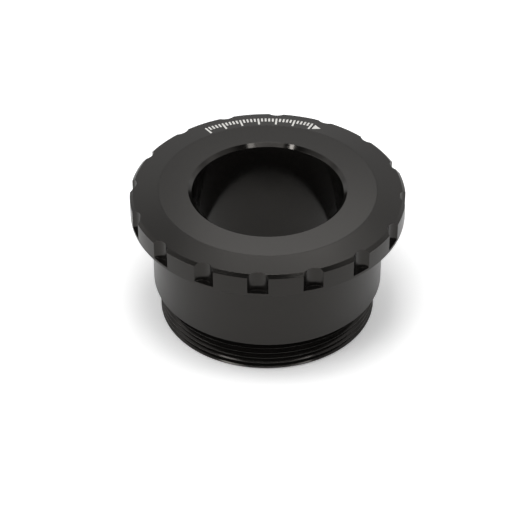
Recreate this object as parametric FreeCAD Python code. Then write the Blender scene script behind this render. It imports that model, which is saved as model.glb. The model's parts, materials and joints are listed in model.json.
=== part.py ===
import FreeCAD, Part
import math
import os

# Bottom bracket cup unit for a 46 mm frame shell and a 30 mm crank spindle.
# Millimetres. The axis is Z, the unit stands on its threaded end at Z = 0 and its face is at the top.
# One notch of the tool flange is centred on the -Y axis.

# Cup, outside
overall_height = 28.4
flange_radius = 27.2
flange_thickness = 5.55
flange_face_chamfer = 0.64
face_slope_angle = 6.2
flange_back_edge_break = 0.25
body_radius = 23.0
body_end_edge_break = 0.3

# Tool notches round the flange
notch_count = 16
notch_arc_radius = 2.35
notch_depth = 1.2
notch_floor_above_back = 0.81

# Thread that joins this cup to the opposite one
thread_radius = 21.75
thread_pitch = 1.25
thread_depth = 0.7
thread_root_flat = 0.25
thread_zone_length = 7.15
thread_relief_length = 0.9
thread_end_chamfer = 0.15
thread_start_height = 0.04

# Ball bearing, 31 x 43 x 7
bearing_bore_radius = 15.5
bearing_radius = 21.5
bearing_width = 7.0
bearing_below_face = 3.8
bearing_edge_break = 0.3
ball_count = 18
ball_radius = 1.75
ball_running_gap = 0.05
ball_circle_radius = (bearing_bore_radius + bearing_radius) / 2
race_shoulder_height = 1.0

# Bearing seals
seal_thickness = 0.7
seal_inset = 0.2
seal_seat_radius = 20.25
seal_core_thickness = 0.3
seal_core_inner_radius = 18.1
seal_core_outer_radius = 19.8

# Riveted ribbon cage
cage_sheet = 0.35
cage_half_width = 0.7
rivet_radius = 0.3
rivet_head_radius = 0.5
rivet_head_height = 0.22

# Retaining ring over the bearing
retaining_groove_radius = 22.4
retaining_groove_width = 1.0
retaining_ring_play = 0.05
retaining_ring_inner_radius = 20.5
retaining_ring_gap_angle = 24.0
retaining_lug_inner_radius = 19.0
retaining_lug_angle = 9.0
retaining_lug_hole_radius = 0.6

# Dust cap with its spindle sleeve, one turned piece
sleeve_bore_radius = 15.0
sleeve_bore_chamfer = 0.7
sleeve_end_height = 0.5
sleeve_end_chamfer = 0.2
cap_seat_radius = 21.6
cap_radius = 21.56
cap_dish_angle = 0.5
cap_rim_thickness = 1.5
cap_hub_radius = 17.5

# Wiper under the dust cap
wiper_height = 1.1
wiper_body_radius = 19.1
wiper_lip_radius = 21.25
wiper_lip_thickness = 0.25

# Cup, inside, and the guide ring in its threaded end
cup_bore_radius = 19.5
guide_radius = 19.9
guide_length = 3.0
guide_end_height = 0.3
guide_running_gap = 0.05
guide_edge_break = 0.3
guide_groove_radius = 17.1
guide_groove_length = 1.2
guide_seal_gap = 0.04

# Graduation engraved in the face, filled with pale paint
mark_centre_angle = 98.5
mark_step_angle = 1.78
mark_steps_each_side = 15
mark_long_every = 5
mark_outer_radius = 24.6
mark_long_length = 2.5
mark_short_length = 1.3
mark_stroke = 0.38
mark_pointer_half_width = 0.95
mark_pointer_half_length = 0.8
mark_depth = 0.12

# Heights that follow from the sizes above
face_height = overall_height
flange_back_height = face_height - flange_thickness
flange_rim_radius = flange_radius - flange_face_chamfer
flange_rim_drop = (flange_rim_radius - cap_seat_radius) * math.tan(math.radians(face_slope_angle))
flange_rim_height = face_height - flange_rim_drop
notch_floor_height = flange_back_height + notch_floor_above_back
bearing_top = face_height - bearing_below_face
bearing_middle = bearing_top - bearing_width / 2
bearing_bottom = bearing_top - bearing_width
cap_back_height = face_height - cap_rim_thickness

ORIGIN = FreeCAD.Vector(0, 0, 0)
Z_AXIS = FreeCAD.Vector(0, 0, 1)


def turned(section):
    """Solid of revolution about Z from a closed half section of (radius, height) points."""
    corners = [FreeCAD.Vector(radius, 0, height) for radius, height in section]
    outline = Part.makePolygon(corners + corners[:1])
    return Part.Face(outline).revolve(ORIGIN, Z_AXIS, 360)


def ring(inner_radius, outer_radius, bottom, top):
    """Plain ring of rectangular section."""
    return turned([(inner_radius, bottom), (outer_radius, bottom), (outer_radius, top), (inner_radius, top)])


def turned_about_z(shape, angle):
    """Copy of a shape turned about Z by an angle in degrees."""
    copy = shape.copy()
    copy.rotate(ORIGIN, Z_AXIS, angle)
    return copy


def round_copies(shape, count, start_angle=0.0):
    """Evenly spaced copies of a shape about Z."""
    return [turned_about_z(shape, start_angle + 360.0 * index / count) for index in range(count)]


def mirrored_in_bearing(shape):
    """Copy of a shape on the other side of the bearing's middle plane."""
    return shape.mirror(FreeCAD.Vector(0, 0, bearing_middle), Z_AXIS)


def annular_block(inner_radius, outer_radius, bottom, top, angle):
    """Piece of a ring, centred on the +X axis, that spans an angle in degrees."""
    corners = [(inner_radius, bottom), (outer_radius, bottom), (outer_radius, top), (inner_radius, top)]
    points = [FreeCAD.Vector(radius, 0, height) for radius, height in corners]
    section = Part.Face(Part.makePolygon(points + points[:1]))
    return turned_about_z(section.revolve(ORIGIN, Z_AXIS, angle), -angle / 2)


def notch_cutter():
    """Upright cylinder that scoops a notch out of the flange's rim at -Y, down to the notch floor."""
    overrun = 1.0
    axis_distance = flange_radius - notch_depth + notch_arc_radius
    foot = FreeCAD.Vector(0, -axis_distance, notch_floor_height)
    return Part.makeCylinder(notch_arc_radius, face_height - notch_floor_height + overrun, foot)


def thread_cutter():
    """Helical V groove that starts in the relief under the body and runs out past the end."""
    root_radius = thread_radius - thread_depth
    overrun = 0.25
    half_root = thread_root_flat / 2
    half_mouth = half_root + (thread_depth + overrun) * math.tan(math.radians(30))
    start = thread_start_height - 2 * thread_pitch
    length = thread_zone_length - thread_relief_length / 2 - start
    helix = Part.makeLongHelix(thread_pitch, length, root_radius)
    section = Part.makePolygon([
        FreeCAD.Vector(root_radius, 0, -half_root),
        FreeCAD.Vector(thread_radius + overrun, 0, -half_mouth),
        FreeCAD.Vector(thread_radius + overrun, 0, half_mouth),
        FreeCAD.Vector(root_radius, 0, half_root),
        FreeCAD.Vector(root_radius, 0, -half_root),
    ])
    groove = Part.Wire(helix.Edges).makePipeShell([section], True, True)
    groove.translate(FreeCAD.Vector(0, 0, start))
    return groove


def mark_layer():
    """Thin layer just under the cup's sloping face, as deep as the engraving."""
    return turned([
        (cap_seat_radius, face_height - mark_depth),
        (flange_rim_radius, flange_rim_height - mark_depth),
        (flange_rim_radius, flange_rim_height),
        (cap_seat_radius, face_height),
    ])


def mark_outlines():
    """Upright prisms over the graduation: radial ticks with every fifth one long, and a pointer at one end."""
    base = face_height - 1.0
    height = 2.0
    prisms = []
    for step in range(-mark_steps_each_side, mark_steps_each_side + 1):
        length = mark_long_length if step % mark_long_every == 0 else mark_short_length
        corner = FreeCAD.Vector(mark_outer_radius - length, -mark_stroke / 2, base)
        tick = Part.makeBox(length, mark_stroke, height, corner)
        prisms.append(turned_about_z(tick, mark_centre_angle + step * mark_step_angle))
    middle_radius = mark_outer_radius - mark_long_length / 2
    corners = [
        FreeCAD.Vector(middle_radius - mark_pointer_half_width, mark_pointer_half_length, base),
        FreeCAD.Vector(middle_radius + mark_pointer_half_width, mark_pointer_half_length, base),
        FreeCAD.Vector(middle_radius, -mark_pointer_half_length, base),
    ]
    pointer = Part.Face(Part.makePolygon(corners + corners[:1])).extrude(FreeCAD.Vector(0, 0, height))
    pointer_angle = mark_centre_angle - (mark_steps_each_side + 2) * mark_step_angle
    prisms.append(turned_about_z(pointer, pointer_angle))
    return prisms


def mark_strokes():
    """The engraved strokes as solids that are flush with the cup's face."""
    layer = mark_layer()
    return [layer.common(prism) for prism in mark_outlines()]


def cup_body():
    """Cup: notched flange, plain body, threaded end, bearing seat and retaining groove in one piece."""
    relief_radius = thread_radius - thread_depth
    relief_start = thread_zone_length - thread_relief_length
    groove_top = bearing_top + retaining_groove_width
    guide_seat_end = guide_end_height + guide_length
    blank = turned([
        (guide_radius, 0),
        (thread_radius - thread_end_chamfer, 0),
        (thread_radius, thread_end_chamfer),
        (thread_radius, relief_start - thread_depth),
        (relief_radius, relief_start),
        (relief_radius, thread_zone_length),
        (body_radius - body_end_edge_break, thread_zone_length),
        (body_radius, thread_zone_length + body_end_edge_break),
        (body_radius, flange_back_height),
        (flange_radius - flange_back_edge_break, flange_back_height),
        (flange_radius, flange_back_height + flange_back_edge_break),
        (flange_radius, flange_rim_height - flange_face_chamfer),
        (flange_rim_radius, flange_rim_height),
        (cap_seat_radius, face_height),
        (cap_seat_radius, groove_top),
        (retaining_groove_radius, groove_top),
        (retaining_groove_radius, bearing_top),
        (bearing_radius, bearing_top),
        (bearing_radius, bearing_bottom),
        (cup_bore_radius, bearing_bottom),
        (cup_bore_radius, guide_seat_end),
        (guide_radius, guide_seat_end),
    ])
    threaded = blank.cut(thread_cutter())
    notched = threaded.cut(round_copies(notch_cutter(), notch_count))
    return notched.cut(mark_strokes())


def dust_cap_sleeve():
    """Dished cap flush in the cup's face, its hub on the bearing's inner ring, and the long sleeve."""
    chamfer_radius = sleeve_bore_radius + sleeve_bore_chamfer
    dish_drop = (cap_radius - chamfer_radius) * math.tan(math.radians(cap_dish_angle))
    return turned([
        (sleeve_bore_radius + sleeve_end_chamfer, sleeve_end_height),
        (bearing_bore_radius, sleeve_end_height),
        (bearing_bore_radius, bearing_top),
        (cap_hub_radius, bearing_top),
        (cap_hub_radius, cap_back_height),
        (cap_radius, cap_back_height),
        (cap_radius, face_height),
        (chamfer_radius, face_height - dish_drop),
        (sleeve_bore_radius, face_height - dish_drop - sleeve_bore_chamfer),
        (sleeve_bore_radius, sleeve_end_height + sleeve_end_chamfer),
    ])


def cap_wiper():
    """Rubber wiper on the hub, with a lip that sweeps the space over the retaining ring."""
    top = cap_back_height
    bottom = top - wiper_height
    return turned([
        (cap_hub_radius, bottom),
        (wiper_body_radius, bottom),
        (wiper_body_radius, top - 0.6),
        (wiper_lip_radius, bottom),
        (wiper_lip_radius, bottom + wiper_lip_thickness),
        (wiper_body_radius + 0.3, top - 0.25),
        (wiper_body_radius + 0.3, top),
        (cap_hub_radius, top),
    ])


def raceway():
    """Ring-shaped space that the balls run in, a little larger than the balls."""
    centre = FreeCAD.Vector(0, 0, bearing_middle)
    return Part.makeTorus(ball_circle_radius, ball_radius + ball_running_gap, centre, Z_AXIS)


def bearing_outer_ring():
    """Outer ring with its raceway and a seat for a seal at each side."""
    land = ball_circle_radius + race_shoulder_height
    seat = seal_inset + seal_thickness
    blank = turned([
        (seal_seat_radius, bearing_bottom),
        (bearing_radius - bearing_edge_break, bearing_bottom),
        (bearing_radius, bearing_bottom + bearing_edge_break),
        (bearing_radius, bearing_top - bearing_edge_break),
        (bearing_radius - bearing_edge_break, bearing_top),
        (seal_seat_radius, bearing_top),
        (seal_seat_radius, bearing_top - seat),
        (land, bearing_top - seat),
        (land, bearing_bottom + seat),
        (seal_seat_radius, bearing_bottom + seat),
    ])
    return blank.cut(raceway())


def bearing_inner_ring():
    """Inner ring with its raceway."""
    land = ball_circle_radius - race_shoulder_height
    blank = turned([
        (bearing_bore_radius + bearing_edge_break, bearing_bottom),
        (land, bearing_bottom),
        (land, bearing_top),
        (bearing_bore_radius + bearing_edge_break, bearing_top),
        (bearing_bore_radius, bearing_top - bearing_edge_break),
        (bearing_bore_radius, bearing_bottom + bearing_edge_break),
    ])
    return blank.cut(raceway())


def bearing_balls():
    """The balls, evenly spaced on their pitch circle."""
    centre = FreeCAD.Vector(ball_circle_radius, 0, bearing_middle)
    return Part.makeCompound(round_copies(Part.makeSphere(ball_radius, centre), ball_count))


def rivet_places():
    """Points on the pitch circle midway between the balls."""
    half_step = 180.0 / ball_count
    first = turned_about_z(Part.Vertex(ball_circle_radius, 0, bearing_middle), half_step)
    return [copy.Point for copy in round_copies(first, ball_count)]


def cage_half_outboard():
    """Pressed ribbon with a dome over each ball and a riveted flat between the balls."""
    inner = ball_circle_radius - cage_half_width
    outer = ball_circle_radius + cage_half_width
    pocket_radius = ball_radius + ball_running_gap
    centre = FreeCAD.Vector(ball_circle_radius, 0, bearing_middle)
    domes = round_copies(Part.makeSphere(pocket_radius + cage_sheet, centre), ball_count)
    pockets = round_copies(Part.makeSphere(pocket_radius, centre), ball_count)
    band = ring(inner, outer, bearing_middle, bearing_middle + 2 * ball_radius)
    flat = ring(inner, outer, bearing_middle, bearing_middle + cage_sheet)
    ribbon = flat.fuse([band.common(dome) for dome in domes])
    holes = [Part.makeCylinder(rivet_radius, 1.0, point) for point in rivet_places()]
    return ribbon.cut(pockets + holes).removeSplitter()


def cage_rivets():
    """Rivets through both halves of the cage."""
    half_length = cage_sheet + rivet_head_height
    rivets = []
    for point in rivet_places():
        lowest = point - FreeCAD.Vector(0, 0, half_length)
        shank = Part.makeCylinder(rivet_radius, 2 * half_length, lowest)
        lower_head = Part.makeCone(rivet_radius, rivet_head_radius, rivet_head_height, lowest)
        upper_base = point + FreeCAD.Vector(0, 0, cage_sheet)
        upper_head = Part.makeCone(rivet_head_radius, rivet_radius, rivet_head_height, upper_base)
        rivets.append(shank.fuse([lower_head, upper_head]).removeSplitter())
    return Part.makeCompound(rivets)


def outboard_seal_core():
    """Steel washer that stiffens the bearing's outboard seal."""
    bottom = bearing_top - seal_inset - seal_thickness
    return ring(seal_core_inner_radius, seal_core_outer_radius, bottom, bottom + seal_core_thickness)


def outboard_seal_lip():
    """Moulded rubber of the bearing's outboard seal, with its lip by the inner ring."""
    land = ball_circle_radius - race_shoulder_height
    top = bearing_top - seal_inset
    bottom = top - seal_thickness
    blank = turned([
        (land + 0.04, bottom + 0.1),
        (seal_core_inner_radius - 0.1, bottom),
        (seal_seat_radius, bottom),
        (seal_seat_radius, top),
        (seal_core_inner_radius + 0.2, top),
        (seal_core_inner_radius, top - 0.2),
        (land + 0.04, top - 0.25),
    ])
    return blank.cut(outboard_seal_core())


def bearing_retaining_ring():
    """Open spring ring in the groove over the bearing, with two lugs for pliers."""
    bottom = bearing_top + retaining_ring_play / 2
    top = bottom + retaining_groove_width - retaining_ring_play
    outer = retaining_groove_radius - retaining_ring_play
    hoop_angle = 360.0 - retaining_ring_gap_angle
    hoop = turned_about_z(
        annular_block(retaining_ring_inner_radius, outer, bottom, top, hoop_angle), 180.0
    )
    lug_middle = retaining_ring_gap_angle / 2 + retaining_lug_angle / 2
    lug = annular_block(retaining_lug_inner_radius, outer, bottom, top, retaining_lug_angle)
    hole_centre = FreeCAD.Vector(retaining_lug_inner_radius + 1.1, 0, bottom)
    hole = Part.makeCylinder(retaining_lug_hole_radius, retaining_groove_width, hole_centre)
    lug = lug.cut(hole)
    lugs = [turned_about_z(lug, lug_middle), turned_about_z(lug, -lug_middle)]
    whole = hoop.fuse(lugs)
    return whole.cut([turned_about_z(hole, lug_middle), turned_about_z(hole, -lug_middle)]).removeSplitter()


def sleeve_guide_ring():
    """Polymer ring pressed into the threaded end, which steadies the sleeve and holds its seal."""
    inner = bearing_bore_radius + guide_running_gap
    bottom = guide_end_height
    top = guide_end_height + guide_length
    groove_bottom = (bottom + top - guide_groove_length) / 2
    groove_top = groove_bottom + guide_groove_length
    return turned([
        (inner + guide_edge_break, bottom),
        (guide_radius - guide_edge_break, bottom),
        (guide_radius, bottom + guide_edge_break),
        (guide_radius, top),
        (inner, top),
        (inner, groove_top),
        (guide_groove_radius, groove_top),
        (guide_groove_radius, groove_bottom),
        (inner, groove_bottom),
        (inner, bottom + guide_edge_break),
    ])


def sleeve_guide_seal():
    """Rubber ring in the guide ring's groove, with a fine lip beside the sleeve."""
    middle = guide_end_height + guide_length / 2
    half = guide_groove_length / 2
    lip = bearing_bore_radius + guide_seal_gap
    return turned([
        (lip, middle - 0.1),
        (lip + 0.5, middle - half),
        (guide_groove_radius, middle - half),
        (guide_groove_radius, middle + half),
        (lip + 0.5, middle + half),
        (lip, middle + 0.1),
    ])


def mark_infill():
    """Pale paint that fills the engraved graduation, one flush tile for each stroke."""
    return Part.makeCompound(mark_strokes())


NODES = {
    "cup_body": cup_body(),
    "face_mark_infill": mark_infill(),
    "dust_cap_sleeve": dust_cap_sleeve(),
    "dust_cap_wiper": cap_wiper(),
    "bearing_retaining_ring": bearing_retaining_ring(),
    "bearing_outer_ring": bearing_outer_ring(),
    "bearing_inner_ring": bearing_inner_ring(),
    "bearing_balls": bearing_balls(),
    "bearing_cage_outboard": cage_half_outboard(),
    "bearing_cage_inboard": mirrored_in_bearing(cage_half_outboard()),
    "bearing_cage_rivets": cage_rivets(),
    "outboard_seal_core": outboard_seal_core(),
    "outboard_seal_lip": outboard_seal_lip(),
    "inboard_seal_core": mirrored_in_bearing(outboard_seal_core()),
    "inboard_seal_lip": mirrored_in_bearing(outboard_seal_lip()),
    "sleeve_guide_ring": sleeve_guide_ring(),
    "sleeve_guide_seal": sleeve_guide_seal(),
}

os.makedirs("parts", exist_ok=True)
for name, shape in NODES.items():
    shape.exportStep("parts/" + name + ".step")
    print(name, "solids", len(shape.Solids), "valid", shape.isValid(), "volume", round(shape.Volume, 2))
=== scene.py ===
import bpy
import json
import math
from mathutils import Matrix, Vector

# Looks for the bottom bracket cup unit. Metres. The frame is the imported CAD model: its axis is Z, it stands
# on the floor at Z = 0, and one notch of its flange is centred on -Y.

MM = 0.001

# Camera, as seen from the front and above
VIEW_AIM = Vector((-1.91, -8.1, 17.81)) * MM
VIEW_AZIMUTH = 4.2
VIEW_ELEVATION = 38.3
VIEW_DISTANCE = 393.1 * MM
VIEW_LENS = 140.8
SENSOR_WIDTH = 36.0

# Where the finish changes on the CAD model: the thread's top, the bore's outer edge, and the change's width
THREAD_TOP = 7.15 * MM
BORE_EDGE = 15.7 * MM
BLEND = 0.1 * MM

# Black anodising: its two blacks, the warm tint of its reflections, its roughness where it is satin and where
# it is glossy, and the depth of its grain
BLACKS = ((0.0045, 0.0042, 0.0039), (0.0060, 0.0056, 0.0052))
WARM_TINT = (1.0, 0.95, 0.89, 1)
SATIN = (0.19, 0.24)
GLOSSY = (0.09, 0.12)
GRAIN_DEPTH = 0.0015 * MM

# Turned aluminium: the pitch of the tool's marks, their share of the grain's depth, and the radius of its
# broken edges
TURNING_PITCH = 0.16 * MM
TURNING_SHARE = 0.15
EDGE_BREAK = 0.07 * MM

# Soft white cards in the surround: elevation, strength and azimuths of each set. Azimuth 0 is at the camera's
# side. A card is full inside its inner angle and fades out at its outer one.
CARD_INNER = 6
CARD_OUTER = 26
CARD_SETS = (
    (48, 0.25, (180,)),
    (48, 0.5, (90, -90)),
    (27, 0.45, (180, 144, -144, 108, -108)),
    (15, 0.3, (0, 60, -60)),
    (5, 0.4, (180, 150, -150, 120, -120, 90, -90)),
    (5, 2.0, (30,)),
    (5, 5.0, (-60,)),
)

# Softboxes: azimuth, elevation, distance, size and power in watts. They face a point on the unit's axis.
SOFTBOX_AIM = Vector((0, 0, 20)) * MM
SOFTBOXES = {
    "back_low": (180, 50, 0.13, 0.05, 0.006),
    "back_top": (180, 65, 0.13, 0.08, 0.01),
    "front_top": (0, 75, 0.14, 0.07, 0.025),
    "top_left": (-60, 70, 0.5, 0.12, 0.25),
    "top_right": (60, 70, 0.5, 0.12, 0.15),
    "top_front": (0, 80, 0.5, 0.16, 0.65),
    "top_back": (180, 75, 0.5, 0.12, 0.15),
    "glint_left": (-39, 53, 0.5, 0.03, 0.05),
    "glint_right": (34, 53, 0.5, 0.06, 0.06),
}

# The floor: half its side in metres, its white, and how the camera sees it, which is a gain and a plain lift
FLOOR_HALF = 3.0
FLOOR_WHITE = 0.9
FLOOR_GAIN = 1.15
FLOOR_LIFT = 0.25

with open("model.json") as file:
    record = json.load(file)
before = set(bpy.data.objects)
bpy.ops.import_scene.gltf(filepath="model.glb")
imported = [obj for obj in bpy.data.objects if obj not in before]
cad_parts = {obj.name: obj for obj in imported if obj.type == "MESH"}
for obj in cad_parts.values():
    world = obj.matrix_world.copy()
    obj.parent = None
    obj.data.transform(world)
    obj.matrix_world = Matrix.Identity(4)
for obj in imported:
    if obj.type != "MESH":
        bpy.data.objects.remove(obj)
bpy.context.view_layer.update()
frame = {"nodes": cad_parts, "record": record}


class Finish:
    """A procedural material under construction, with short ways to add nodes."""

    def __init__(self, name):
        self.material = bpy.data.materials.new(name)
        self.material.use_nodes = True
        self.tree = self.material.node_tree
        self.surface = self.tree.nodes["Principled BSDF"]
        self.place = self.add("ShaderNodeTexCoord").outputs["Object"]

    def add(self, kind, **settings):
        """A new node of that kind, with its settings."""
        node = self.tree.nodes.new(kind)
        for key, value in settings.items():
            setattr(node, key, value)
        return node

    def link(self, source, target):
        self.tree.links.new(source, target)

    def math(self, operation, *values):
        """A Math node's result. A value is a number or a socket."""
        node = self.add("ShaderNodeMath", operation=operation)
        for socket, value in zip(node.inputs, values):
            if isinstance(value, bpy.types.NodeSocket):
                self.link(value, socket)
            else:
                socket.default_value = value
        return node.outputs[0]

    def spread(self, value, low, high, new_low, new_high):
        """A value's range carried over to another range, and held at its ends."""
        node = self.add("ShaderNodeMapRange")
        self.link(value, node.inputs["Value"])
        limits = (("From Min", low), ("From Max", high), ("To Min", new_low), ("To Max", new_high))
        for name, limit in limits:
            if isinstance(limit, bpy.types.NodeSocket):
                self.link(limit, node.inputs[name])
            else:
                node.inputs[name].default_value = limit
        return node.outputs[0]

    def noise(self, grain, detail=2.0):
        """Noise from 0 to 1 with a grain of that size in metres."""
        node = self.add("ShaderNodeTexNoise")
        node.inputs["Scale"].default_value = 1 / grain
        node.inputs["Detail"].default_value = detail
        self.link(self.place, node.inputs["Vector"])
        return node.outputs["Fac"]

    def height(self):
        """Height over the floor when the unit stands."""
        return self.split()[2]

    def radius(self):
        """Distance from the unit's axis."""
        x, y, _ = self.split()
        return self.math("SQRT", self.math("ADD", self.math("MULTIPLY", x, x), self.math("MULTIPLY", y, y)))

    def split(self):
        """The place's three coordinates."""
        node = self.add("ShaderNodeSeparateXYZ")
        self.link(self.place, node.inputs[0])
        return node.outputs

    def colour(self, mask, dark, light):
        """Base colour that varies between two linear colours."""
        node = self.add("ShaderNodeMix", data_type="RGBA")
        self.link(mask, node.inputs["Factor"])
        node.inputs[6].default_value = (*dark, 1)
        node.inputs[7].default_value = (*light, 1)
        self.link(node.outputs[2], self.surface.inputs["Base Color"])

    def roughness(self, value):
        """Roughness from a socket."""
        self.link(value, self.surface.inputs["Roughness"])

    def bump(self, value, depth, edge_break=0.0):
        """Relief of that depth in metres, over edges that are broken by a small radius."""
        node = self.add("ShaderNodeBump")
        if edge_break:
            edge = self.add("ShaderNodeBevel", samples=6)
            edge.inputs["Radius"].default_value = edge_break
            self.link(edge.outputs[0], node.inputs["Normal"])
        node.inputs["Distance"].default_value = depth
        self.link(value, node.inputs["Height"])
        self.link(node.outputs[0], self.surface.inputs["Normal"])

    def set(self, **values):
        """Constants on the shader's own sockets, with _ for a space in the name."""
        for name, value in values.items():
            self.surface.inputs[name.replace("_", " ")].default_value = value


def turning_marks(finish, pitch):
    """Fine rings about the axis, as a lathe tool leaves on a face, uneven from ring to ring."""
    wander = finish.math("MULTIPLY", finish.noise(3 * MM), 0.35 * pitch)
    phase = finish.math("MULTIPLY", finish.math("ADD", finish.radius(), wander), 2 * math.pi / pitch)
    return finish.math("SINE", phase)


def black_anodising(name, glossy_inside=0.0, glossy_below=0.0):
    """Fine satin black anodising on turned aluminium. It is glossier inside a radius and below a height."""
    finish = Finish(name)
    grain = finish.noise(0.12 * MM, 3.0)
    cloud = finish.noise(4 * MM, 3.0)
    finish.colour(cloud, *BLACKS)
    satin = finish.spread(grain, 0.3, 0.7, *SATIN)
    glossy = finish.spread(grain, 0.3, 0.7, *GLOSSY)
    beyond = finish.spread(finish.radius(), glossy_inside, glossy_inside + BLEND, 0.0, 1.0)
    above = finish.spread(finish.height(), glossy_below - BLEND, glossy_below, 0.0, 1.0)
    share = finish.add("ShaderNodeMix", data_type="FLOAT")
    finish.link(finish.math("MULTIPLY", beyond, above), share.inputs["Factor"])
    finish.link(glossy, share.inputs[2])
    finish.link(satin, share.inputs[3])
    finish.roughness(share.outputs[0])
    marks = finish.math("MULTIPLY", turning_marks(finish, TURNING_PITCH), TURNING_SHARE)
    finish.bump(finish.math("ADD", marks, grain), GRAIN_DEPTH, EDGE_BREAK)
    finish.set(Specular_Tint=WARM_TINT)
    return finish.material


def mark_paint():
    """Pale paint wiped into the engraving, a little uneven."""
    finish = Finish("mark_paint")
    finish.colour(finish.noise(0.5 * MM, 4.0), (0.62, 0.61, 0.58), (0.80, 0.79, 0.76))
    finish.roughness(finish.spread(finish.noise(0.2 * MM), 0.3, 0.7, 0.5, 0.7))
    finish.bump(finish.noise(0.15 * MM, 3.0), 0.01 * MM)
    return finish.material


def steel(name, colour, roughness):
    """Bare steel with fine marks about the axis."""
    finish = Finish(name)
    light = [min(1.0, channel * 1.12) for channel in colour]
    cloud = finish.noise(1.5 * MM, 4.0)
    finish.colour(cloud, colour, light)
    finish.set(Metallic=1.0)
    grain = finish.noise(0.1 * MM, 3.0)
    finish.roughness(finish.spread(grain, 0.3, 0.7, 0.8 * roughness, 1.2 * roughness))
    finish.bump(turning_marks(finish, 0.12 * MM), 0.0008 * MM)
    return finish.material


def rubber():
    """Matt black rubber."""
    finish = Finish("seal_rubber")
    finish.colour(finish.noise(2 * MM, 3.0), (0.010, 0.010, 0.010), (0.020, 0.020, 0.019))
    finish.roughness(finish.spread(finish.noise(0.3 * MM), 0.3, 0.7, 0.55, 0.72))
    finish.bump(finish.noise(0.12 * MM, 4.0), 0.006 * MM)
    return finish.material


def polymer():
    """Moulded dark grey engineering plastic, faintly mottled."""
    finish = Finish("guide_polymer")
    finish.colour(finish.noise(1.2 * MM, 4.0), (0.020, 0.020, 0.021), (0.030, 0.030, 0.031))
    finish.roughness(finish.spread(finish.noise(0.25 * MM, 3.0), 0.3, 0.7, 0.38, 0.52))
    finish.bump(finish.noise(0.2 * MM, 3.0), 0.004 * MM)
    return finish.material


def dress_nodes():
    """Gives every CAD node the finish of its material slot."""
    finishes = {
        "cup_anodised": black_anodising("cup_anodised", glossy_below=THREAD_TOP),
        "cap_anodised": black_anodising("cap_anodised", glossy_inside=BORE_EDGE),
        "mark_paint": mark_paint(),
        "bearing_steel": steel("bearing_steel", (0.42, 0.42, 0.43), 0.22),
        "ball_steel": steel("ball_steel", (0.55, 0.55, 0.56), 0.08),
        "cage_steel": steel("cage_steel", (0.33, 0.32, 0.30), 0.38),
        "seal_core_steel": steel("seal_core_steel", (0.30, 0.30, 0.31), 0.35),
        "seal_rubber": rubber(),
        "spring_steel": steel("spring_steel", (0.06, 0.057, 0.053), 0.32),
        "guide_polymer": polymer(),
    }
    for part in frame["record"]["subparts"]:
        node = frame["nodes"][part["node"]]
        node.data.materials.clear()
        node.data.materials.append(finishes[part["material_slot"]])


def direction(azimuth, elevation):
    """Unit vector from the object to a place round it. Azimuth 0 is at the camera's side, towards -Y."""
    a, e = math.radians(azimuth), math.radians(elevation)
    return Vector((math.sin(a) * math.cos(e), -math.cos(a) * math.cos(e), math.sin(e)))


def softbox(name, azimuth, elevation, distance, size, power):
    """Square area light that faces the unit."""
    data = bpy.data.lights.new(name, "AREA")
    data.energy = power
    data.size = size
    light = bpy.data.objects.new(name, data)
    toward = direction(azimuth, elevation)
    light.location = SOFTBOX_AIM + toward * distance
    light.rotation_mode = "QUATERNION"
    light.rotation_quaternion = toward.to_track_quat("Z", "Y")
    bpy.context.scene.collection.objects.link(light)


def card_light(tree, place, azimuth, elevation, strength):
    """Strength of a round soft-edged white card in the surround, in one direction from the unit."""
    facing = tree.nodes.new("ShaderNodeVectorMath")
    facing.operation = "DOT_PRODUCT"
    facing.inputs[1].default_value = direction(azimuth, elevation)
    tree.links.new(place, facing.inputs[0])
    edge = tree.nodes.new("ShaderNodeMapRange")
    edge.interpolation_type = "SMOOTHSTEP"
    edge.inputs["From Min"].default_value = math.cos(math.radians(CARD_OUTER))
    edge.inputs["From Max"].default_value = math.cos(math.radians(CARD_INNER))
    edge.inputs["To Min"].default_value = 0.0
    edge.inputs["To Max"].default_value = strength
    tree.links.new(facing.outputs["Value"], edge.inputs["Value"])
    return edge.outputs[0]


def white_to_camera(tree, shade, white, output):
    """Joins a plain white shader, which only the camera sees, to the one that lights the unit."""
    path = tree.nodes.new("ShaderNodeLightPath")
    mix = tree.nodes.new("ShaderNodeMixShader")
    tree.links.new(path.outputs["Is Camera Ray"], mix.inputs[0])
    tree.links.new(shade, mix.inputs[1])
    tree.links.new(white, mix.inputs[2])
    tree.links.new(mix.outputs[0], output.inputs["Surface"])


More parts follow.
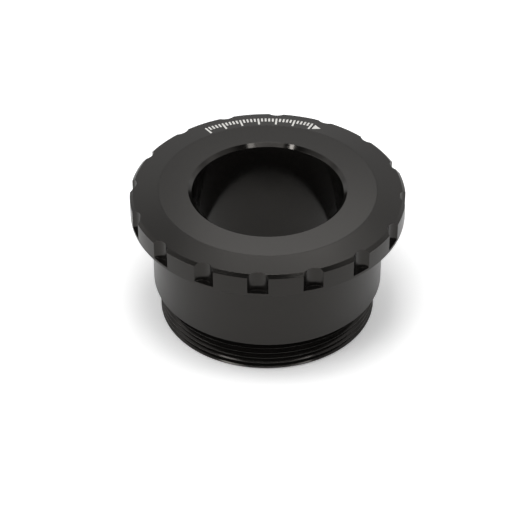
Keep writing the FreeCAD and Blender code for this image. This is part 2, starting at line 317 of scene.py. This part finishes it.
def studio_world():
    """Surround of soft white cards, which the camera sees as plain white."""
    world = bpy.data.worlds.new("studio")
    world.use_nodes = True
    tree = world.node_tree
    place = tree.nodes.new("ShaderNodeTexCoord").outputs["Generated"]
    total = None
    cards = [(azimuth, elevation, strength) for elevation, strength, row in CARD_SETS for azimuth in row]
    for card in cards:
        light = card_light(tree, place, *card)
        if total is not None:
            both = tree.nodes.new("ShaderNodeMath")
            both.operation = "ADD"
            tree.links.new(total, both.inputs[0])
            tree.links.new(light, both.inputs[1])
            light = both.outputs[0]
        total = light
    surround = tree.nodes["Background"]
    tree.links.new(total, surround.inputs["Color"])
    white = tree.nodes.new("ShaderNodeBackground")
    white.inputs["Color"].default_value = (1, 1, 1, 1)
    white_to_camera(tree, surround.outputs[0], white.outputs[0], tree.nodes["World Output"])
    bpy.context.scene.world = world


def floor():
    """Wide white floor. The camera sees it overexposed, as in product photographs."""
    mesh = bpy.data.meshes.new("floor")
    corners = [(FLOOR_HALF * x, FLOOR_HALF * y, 0) for x, y in ((-1, -1), (1, -1), (1, 1), (-1, 1))]
    mesh.from_pydata(corners, [], [(0, 1, 2, 3)])
    plane = bpy.data.objects.new("floor", mesh)
    bpy.context.scene.collection.objects.link(plane)
    material = bpy.data.materials.new("floor_white")
    material.use_nodes = True
    tree = material.node_tree
    matt = tree.nodes.new("ShaderNodeBsdfDiffuse")
    matt.inputs["Color"].default_value = (FLOOR_WHITE, FLOOR_WHITE, FLOOR_WHITE, 1)
    bright = tree.nodes.new("ShaderNodeBsdfDiffuse")
    bright.inputs["Color"].default_value = (FLOOR_GAIN, FLOOR_GAIN, FLOOR_GAIN, 1)
    lift = tree.nodes.new("ShaderNodeEmission")
    lift.inputs["Strength"].default_value = FLOOR_LIFT
    seen = tree.nodes.new("ShaderNodeAddShader")
    tree.links.new(bright.outputs[0], seen.inputs[0])
    tree.links.new(lift.outputs[0], seen.inputs[1])
    white_to_camera(tree, matt.outputs[0], seen.outputs[0], tree.nodes["Material Output"])
    mesh.materials.append(material)


def camera():
    """Camera at the front and above, with a long lens."""
    data = bpy.data.cameras.new("camera")
    data.lens = VIEW_LENS
    data.sensor_width = SENSOR_WIDTH
    data.clip_start = 0.01
    data.clip_end = 20
    eye = bpy.data.objects.new("camera", data)
    toward = direction(VIEW_AZIMUTH, VIEW_ELEVATION)
    eye.location = VIEW_AIM + toward * VIEW_DISTANCE
    eye.rotation_mode = "QUATERNION"
    eye.rotation_quaternion = toward.to_track_quat("Z", "Y")
    bpy.context.scene.collection.objects.link(eye)
    bpy.context.scene.camera = eye


dress_nodes()
studio_world()
floor()
camera()
for name, setting in SOFTBOXES.items():
    softbox(name, *setting)
bpy.context.scene.view_settings.view_transform = "Standard"
